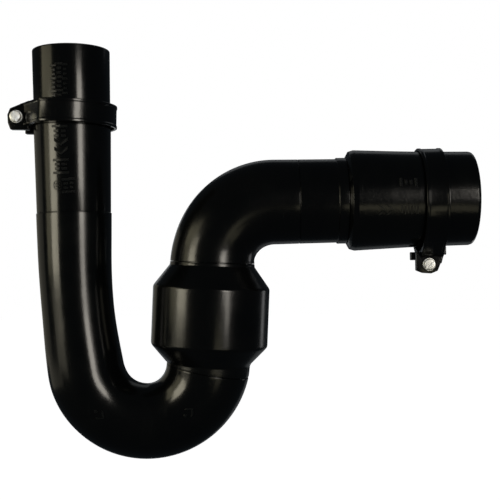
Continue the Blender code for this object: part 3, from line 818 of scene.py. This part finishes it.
def pierced_plate(name, outline, hole_radius, thickness, material, edge=0.12 * MM):
    """A plate across local Y with a round hole and softened rims."""
    bm = bmesh.new()
    count = len(outline)
    hole = circle(hole_radius, count)
    shrink = 1 - edge / max(math.hypot(*p) for p in outline)
    grow = 1 + edge / hole_radius
    loops = []
    for points, scale, y in ((outline, shrink, 0.0), (outline, 1.0, edge),
                             (outline, 1.0, thickness - edge), (outline, shrink, thickness),
                             (hole, grow, thickness), (hole, 1.0, thickness - edge),
                             (hole, 1.0, edge), (hole, grow, 0.0)):
        loops.append([bm.verts.new((u * scale, y, v * scale)) for u, v in points])
    bridge_rings(bm, loops)
    return add_object(name, bm, material, 28)


def square_outline(side, per_side):
    """Points round a square, one at each equal step of angle from +X."""
    points = []
    for i in range(4 * per_side):
        angle = 2 * math.pi * i / (4 * per_side)
        scale = side / 2 / max(abs(math.cos(angle)), abs(math.sin(angle)))
        points.append((scale * math.cos(angle), scale * math.sin(angle)))
    return points


def clamp(prefix, bore, shape, mouth_side, slot_angle, placement, looks):
    """One clamp: band and captive nut, washer and screw under one placement."""
    band = clamp_band(f"{prefix}_clamp_strap", bore, *shape, mouth_side, looks["clamp_band"])
    band.data.transform(placement)
    screw_x = -(bore + BAND_WALL + SCREW_OFFSET)
    face = -(EAR_GAP / 2 + EAR_THICKNESS)
    washer_y = face - GAP - WASHER_THICKNESS
    nut_y = -face - NUT_THICKNESS
    steel = looks["zinc_steel"]
    washer = pierced_plate(f"{prefix}_washer_plate", circle(WASHER_RADIUS, 48), SCREW_RADIUS + GAP,
                           WASHER_THICKNESS, steel)
    nut = pierced_plate(f"{prefix}_square_nut", square_outline(NUT_SIDE, 12), SCREW_RADIUS + GAP,
                        NUT_THICKNESS, steel, 0.3 * MM)
    screw = clamp_screw(f"{prefix}_slotted_screw", slot_angle, steel)
    for thing, y in ((washer, washer_y), (nut, nut_y), (screw, washer_y - GAP)):
        thing.matrix_world = placement @ Matrix.Translation((screw_x, y, -mouth_side * SCREW_DROP))
    pieces = ((band, "clamp", "clamp_band", "clamp_band"), (nut, "clamp", "clamp_nut", "zinc_steel"),
              (washer, "washer", "clamp_washer", "zinc_steel"),
              (screw, "screw", "clamp_screw", "zinc_steel"))
    for thing, body, node, slot in pieces:
        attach(thing, f"{prefix}_{body}")
        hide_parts(f"{prefix}_{node}")
    return nut, washer, screw


def inlet_clamp_placement():
    """Ears towards -X, tilted a little on the upright socket."""
    place = Matrix.Translation(Vector(JOINTS["inlet_clamp_swivel"]["pos_m"]))
    place @= Matrix.Translation((INLET_BAND_SHIFT, 0.0, 0.0))
    return place @ Matrix.Rotation(INLET_BAND_TILT, 4, "Y")


def outlet_clamp_placement():
    """Ears hanging down; the outlet mouth is on the local -Z side."""
    place = Matrix.Translation(Vector(JOINTS["outlet_clamp_swivel"]["pos_m"]))
    place @= Matrix.Translation((0.0, 0.0, -OUTLET_BAND_SAG))
    return place @ Matrix.Rotation(-math.pi / 2, 4, "Y")


# Materials

class Shader:
    """A Principled material and short ways to add nodes to it."""

    def __init__(self, name):
        self.material = bpy.data.materials.new(name)
        self.material.use_nodes = True
        self.tree = self.material.node_tree
        self.main = self.tree.nodes["Principled BSDF"]
        self.place = self.node("ShaderNodeTexCoord").outputs["Object"]

    def node(self, kind, **values):
        made = self.tree.nodes.new(kind)
        for key, value in values.items():
            setattr(made, key, value)
        return made

    def join(self, source, target):
        self.tree.links.new(source, target)

    def stretched(self, scale):
        """Object coordinates, stretched along the axes with a small scale."""
        mapping = self.node("ShaderNodeMapping")
        mapping.inputs["Scale"].default_value = scale
        self.join(self.place, mapping.inputs["Vector"])
        return mapping.outputs["Vector"]

    def noise(self, scale, detail=3.0, roughness=0.5, vector=None):
        texture = self.node("ShaderNodeTexNoise")
        texture.inputs["Scale"].default_value = scale
        texture.inputs["Detail"].default_value = detail
        texture.inputs["Roughness"].default_value = roughness
        self.join(vector or self.place, texture.inputs["Vector"])
        return texture.outputs["Fac"]

    def span(self, value, low, high, to_low, to_high):
        """Map a range of one value to another, clamped."""
        ranged = self.node("ShaderNodeMapRange")
        for key, number in (("From Min", low), ("From Max", high),
                            ("To Min", to_low), ("To Max", to_high)):
            ranged.inputs[key].default_value = number
        self.join(value, ranged.inputs["Value"])
        return ranged.outputs["Result"]

    def maths(self, operation, a, b):
        made = self.node("ShaderNodeMath", operation=operation)
        for socket, value in zip(made.inputs, (a, b)):
            if isinstance(value, (int, float)):
                socket.default_value = value
            else:
                self.join(value, socket)
        return made.outputs[0]

    def blend(self, factor, a, b):
        """Mix two colours, each a plain tuple or a socket."""
        mix = self.node("ShaderNodeMix", data_type="RGBA")
        self.join(factor, mix.inputs[0])
        for socket, value in ((mix.inputs[6], a), (mix.inputs[7], b)):
            if isinstance(value, tuple):
                socket.default_value = (*value, 1.0)
            else:
                self.join(value, socket)
        return mix.outputs[2]

    def relief(self, layers):
        """Chain of bumps from (height, distance) layers."""
        normal = None
        for height, distance in layers:
            bump = self.node("ShaderNodeBump")
            bump.inputs["Strength"].default_value = 1.0
            bump.inputs["Distance"].default_value = distance
            self.join(height, bump.inputs["Height"])
            if normal:
                self.join(normal, bump.inputs["Normal"])
            normal = bump.outputs["Normal"]
        self.join(normal, self.main.inputs["Normal"])

    def edges(self, low, high):
        """1 on worn convex edges, 0 on flat ground."""
        return self.span(self.node("ShaderNodeNewGeometry").outputs["Pointiness"], low, high, 0.0, 1.0)


BLACK = (0.0020, 0.0024, 0.0027)
SOFT_BLACK = (0.0030, 0.0034, 0.0036)


def moulded_plastic(name, dark, light, smoothest, roughest, grain, stipple=0.010 * MM):
    """Black moulded plastic: fine mould grain, a coarser stipple, slow ripples,
    scuffs and worn edges. Grain and stipple are bump heights."""
    shader = Shader(name)
    fine = shader.noise(1400, 4.0, 0.6)
    ripple = shader.noise(140, 2.0)
    dimple = shader.noise(620, 1.0)
    cloud = shader.noise(38, 4.0, 0.6)
    scuff = shader.noise(420, 3.0, 0.7, shader.stretched((1.0, 0.35, 0.12)))
    scuffed = shader.span(scuff, 0.62, 0.78, 0.0, 1.0)
    worn = shader.edges(0.53, 0.6)
    tone = shader.blend(shader.span(cloud, 0.35, 0.65, 0.0, 1.0), dark, light)
    dusty = tuple(4 * c for c in light)
    tone = shader.blend(shader.maths("MULTIPLY", worn, 0.55), tone, dusty)
    tone = shader.blend(shader.maths("MULTIPLY", scuffed, 0.10), tone, dusty)
    shader.join(tone, shader.main.inputs["Base Color"])
    rough = shader.span(cloud, 0.3, 0.7, smoothest, roughest)
    rough = shader.maths("ADD", rough, shader.maths("MULTIPLY", scuffed, 0.08))
    rough = shader.maths("ADD", rough, shader.maths("MULTIPLY", worn, 0.12))
    rough = shader.maths("ADD", rough, shader.span(fine, 0.4, 0.6, -0.015, 0.015))
    shader.join(rough, shader.main.inputs["Roughness"])
    shader.relief([(ripple, 0.035 * MM), (dimple, stipple), (fine, grain)])
    shader.main.inputs["IOR"].default_value = 1.49
    return shader.material


def sleeve_rubber(name):
    """Matt black rubber with a chalky bloom."""
    shader = Shader(name)
    fine = shader.noise(1800, 3.0, 0.6)
    bloom = shader.noise(160, 4.0, 0.65)
    tone = shader.blend(shader.span(bloom, 0.4, 0.72, 0.0, 1.0), (0.012, 0.012, 0.012),
                        (0.028, 0.027, 0.026))
    shader.join(tone, shader.main.inputs["Base Color"])
    shader.join(shader.span(bloom, 0.3, 0.7, 0.58, 0.78), shader.main.inputs["Roughness"])
    shader.relief([(fine, 0.03 * MM)])
    return shader.material


def zinc_plate(name):
    """Bright zinc plate: turning marks round the screw's axis, faint tarnish."""
    shader = Shader(name)
    split = shader.node("ShaderNodeSeparateXYZ")
    shader.join(shader.place, split.inputs[0])
    across = shader.maths("POWER", split.outputs["X"], 2.0)
    up = shader.maths("POWER", split.outputs["Z"], 2.0)
    radius = shader.maths("SQRT", shader.maths("ADD", across, up), 0.0)
    turning = shader.maths("SINE", shader.maths("MULTIPLY", radius, 2 * math.pi / (0.22 * MM)), 0.0)
    speck = shader.noise(2600, 3.0, 0.6)
    tarnish = shader.noise(420, 4.0, 0.6)
    tone = shader.blend(shader.span(tarnish, 0.38, 0.7, 0.0, 1.0), (0.86, 0.87, 0.85),
                        (0.66, 0.65, 0.60))
    shader.join(tone, shader.main.inputs["Base Color"])
    shader.join(shader.span(tarnish, 0.35, 0.7, 0.30, 0.46), shader.main.inputs["Roughness"])
    shader.relief([(turning, 0.004 * MM), (speck, 0.006 * MM)])
    shader.main.inputs["Metallic"].default_value = 0.75
    return shader.material


def all_looks():
    """The mouldings have three finishes: glossy, satin and stippled."""
    return {
        "trap_body": moulded_plastic("trap_body_look", BLACK, SOFT_BLACK, 0.14, 0.20,
                                     0.007 * MM),
        "trap_chamber": moulded_plastic("trap_chamber_look", BLACK, (0.0032, 0.0035, 0.0036),
                                        0.16, 0.23, 0.009 * MM),
        "trap_socket": moulded_plastic("trap_socket_look", BLACK, SOFT_BLACK, 0.15, 0.21,
                                       0.009 * MM, 0.040 * MM),
        "clamp_band": moulded_plastic("clamp_band_look", (0.0022, 0.0025, 0.0028),
                                      (0.0034, 0.0037, 0.0039), 0.13, 0.19, 0.007 * MM),
        "seal_sleeve": sleeve_rubber("seal_sleeve_look"),
        "zinc_steel": zinc_plate("zinc_steel_look"),
    }


# Floor, light and camera

WARM = (1.0, 0.93, 0.72)
OLIVE = (1.0, 0.92, 0.62)
IVORY = (1.0, 0.94, 0.84)
NEUTRAL = (1.0, 1.0, 1.0)
COOL = (0.94, 0.98, 1.0)

# Name, distance from the part's middle (m), azimuth and half width (degrees), lowest and
# highest point (m), radiance, colour. Azimuth 0 is in front (-Y), 90 at the outlet end (+X).
PANELS = (
    ("left_core", 0.7, -56, 9.5, -0.19, 0.05, 6.0, WARM),
    ("left_foot", 0.7, -62, 12, -0.30, -0.20, 0.8, WARM),
    ("left_skirt", 0.7, -74, 7, -0.18, 0.04, 1.1, OLIVE),
    ("left_far", 0.7, -122, 26, -0.30, 0.06, 0.20, WARM),
    ("left_low", 0.7, -95, 25, -0.42, -0.30, 0.3, WARM),
    ("left_high", 0.7, -70, 16, 0.05, 0.22, 1.3, OLIVE),
    ("right_core", 2.0, 30.5, 6.8, -0.24, 0.55, 8.0, IVORY),
    ("right_foot", 2.0, 34, 4.0, -0.43, -0.24, 4.5, IVORY),
    ("right_wing", 2.0, 40, 4, -0.24, 0.40, 1.5, IVORY),
    ("front_low", 0.7, 17.5, 7.2, -0.40, -0.26, 0.6, OLIVE),
    ("front_lower", 0.7, 30, 7, -0.52, -0.34, 0.5, OLIVE),
    ("back_right", 0.3, 124, 5, -0.25, -0.13, 1.0, NEUTRAL),
    ("back_left", 1.2, -160, 10, -0.40, 0.20, 0.35, COOL),
    ("back_high", 0.7, 165, 35, 0.25, 0.60, 0.22, COOL),
    ("back_low", 0.7, 175, 30, -0.70, -0.35, 0.12, COOL),
)


def studio():
    """Soft panels standing round the part, each facing its middle."""
    middle = (CAD_BOX[0] + CAD_BOX[1]) / 2
    for name, distance, azimuth, half_width, low, high, radiance, color in PANELS:
        angle = math.radians(azimuth)
        height = (low + high) / 2
        place = Vector((middle.x + distance * math.sin(angle),
                        middle.y - distance * math.cos(angle), height))
        width = 2 * distance * math.tan(math.radians(half_width))
        area_light(name, place, (middle.x, middle.y, height), width, high - low, radiance, color)


def area_light(name, place, target, width, height, radiance, color):
    data = bpy.data.lights.new(name, "AREA")
    data.shape = "RECTANGLE"
    data.size = width
    data.size_y = height
    data.energy = math.pi * radiance * width * height
    data.color = color
    light = bpy.data.objects.new(name, data)
    light.location = place
    light.rotation_euler = (Vector(target) - place).to_track_quat("-Z", "Y").to_euler()
    light.visible_camera = False
    bpy.context.collection.objects.link(light)
    return light


def steel_light(steel):
    """A soft front light for the steel pieces alone, to keep the screw heads bright."""
    place = Vector((0.0, -0.8, 0.1))
    side = 0.5
    light = area_light("steel_front", place, (0.1, 0.0, -0.1), side, side, 1.5, NEUTRAL)
    group = bpy.data.collections.new("steel")
    for thing in steel:
        group.objects.link(thing)
    light.light_linking.receiver_collection = group


def surroundings():
    """A surround that is white to the camera and nearly dark to the part."""
    world = bpy.data.worlds.new("studio")
    world.use_nodes = True
    tree = world.node_tree
    tree.nodes.clear()
    output = tree.nodes.new("ShaderNodeOutputWorld")
    seen = tree.nodes.new("ShaderNodeBackground")
    seen.inputs["Color"].default_value = (1.0, 1.0, 1.0, 1.0)
    dim = tree.nodes.new("ShaderNodeBackground")
    dim.inputs["Color"].default_value = (0.018, 0.022, 0.026, 1.0)
    path = tree.nodes.new("ShaderNodeLightPath")
    mix = tree.nodes.new("ShaderNodeMixShader")
    tree.links.new(path.outputs["Is Camera Ray"], mix.inputs[0])
    tree.links.new(dim.outputs[0], mix.inputs[1])
    tree.links.new(seen.outputs[0], mix.inputs[2])
    tree.links.new(mix.outputs[0], output.inputs["Surface"])
    bpy.context.scene.world = world


FLOOR_SIDE = 12.0
FLOOR_DROP = 0.35


def floor():
    """A plain pale sheet well below the part."""
    bm = bmesh.new()
    half = FLOOR_SIDE / 2
    level = CAD_BOX[0].z - FLOOR_DROP
    bm.faces.new([bm.verts.new((x, y, level)) for x, y in
                  ((-half, -half), (half, -half), (half, half), (-half, half))])
    material = bpy.data.materials.new("pale_floor")
    material.use_nodes = True
    main = material.node_tree.nodes["Principled BSDF"]
    main.inputs["Base Color"].default_value = (0.9, 0.9, 0.9, 1.0)
    main.inputs["Emission Color"].default_value = (1.0, 1.0, 1.0, 1.0)
    main.inputs["Emission Strength"].default_value = 1.0
    sheet = add_object("floor", bm, material)
    sheet.visible_diffuse = False
    sheet.visible_glossy = False


CAMERA_PLACE = (0.1103, -0.567, -0.1273)
CAMERA_ROLL = math.radians(1.1)
CAMERA_LENS = 64.8


def camera():
    """A level camera that looks along +Y, rolled a little."""
    data = bpy.data.cameras.new("camera")
    data.lens = CAMERA_LENS
    data.sensor_width = 36.0
    view = bpy.data.objects.new("camera", data)
    level = Matrix.Rotation(math.pi / 2, 4, "X")
    roll = Matrix.Rotation(CAMERA_ROLL, 4, "Y")
    view.matrix_world = Matrix.Translation(CAMERA_PLACE) @ roll @ level
    bpy.context.collection.objects.link(view)
    bpy.context.scene.camera = view
    bpy.context.scene.view_settings.view_transform = "Standard"


# Node, its maker and its finish
MOULDINGS = (
    ("inlet_tube", inlet_tube, "trap_body"),
    ("return_bend", return_bend, "trap_body"),
    ("seal_chamber", seal_chamber, "trap_chamber"),
    ("outlet_elbow", outlet_elbow, "trap_chamber"),
    ("outlet_tube", outlet_tube, "trap_chamber"),
    ("outlet_socket", outlet_socket, "trap_socket"),
)


def body(looks):
    for node, make, finish in MOULDINGS:
        skin = make(looks[finish])
        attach(skin, "trap")
        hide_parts(node)
    plastic = looks["trap_body"]
    for mark in inlet_marks(plastic) + bend_marks(plastic) + hub_marks(plastic):
        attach(mark, "trap")
    rubber = looks["seal_sleeve"]
    inlet = seal_sleeve("inlet_sleeve_liner", SLEEVE_INSET, INLET_SEAT_DEPTH - GAP,
                        INLET_SEAT_BORE - GAP, 19.2 * MM, rubber)
    outlet = seal_sleeve("outlet_sleeve_liner", MOUTH - OUTLET_SEAT_DEPTH + GAP,
                         MOUTH - SLEEVE_INSET, OUTLET_SEAT_BORE - GAP, 24.3 * MM, rubber)
    for liner, node in ((inlet, "inlet_seal_sleeve"), (outlet, "outlet_seal_sleeve")):
        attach(liner, "trap")
        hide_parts(node)


looks = all_looks()
body(looks)
inlet_shape = (INLET_BAND_SWELL, INLET_BAND_FLANK, None)
outlet_shape = (OUTLET_BAND_SWELL, OUTLET_BAND_FLANK, OUTLET_BAND_HEEL)
steel = clamp("inlet", INLET_BAND_BORE, inlet_shape, 1, INLET_SLOT_ANGLE,
              inlet_clamp_placement(), looks)
steel += clamp("outlet", OUTLET_BAND_BORE, outlet_shape, -1, OUTLET_SLOT_ANGLE,
               outlet_clamp_placement(), looks)
surroundings()
floor()
studio()
steel_light(steel)
camera()
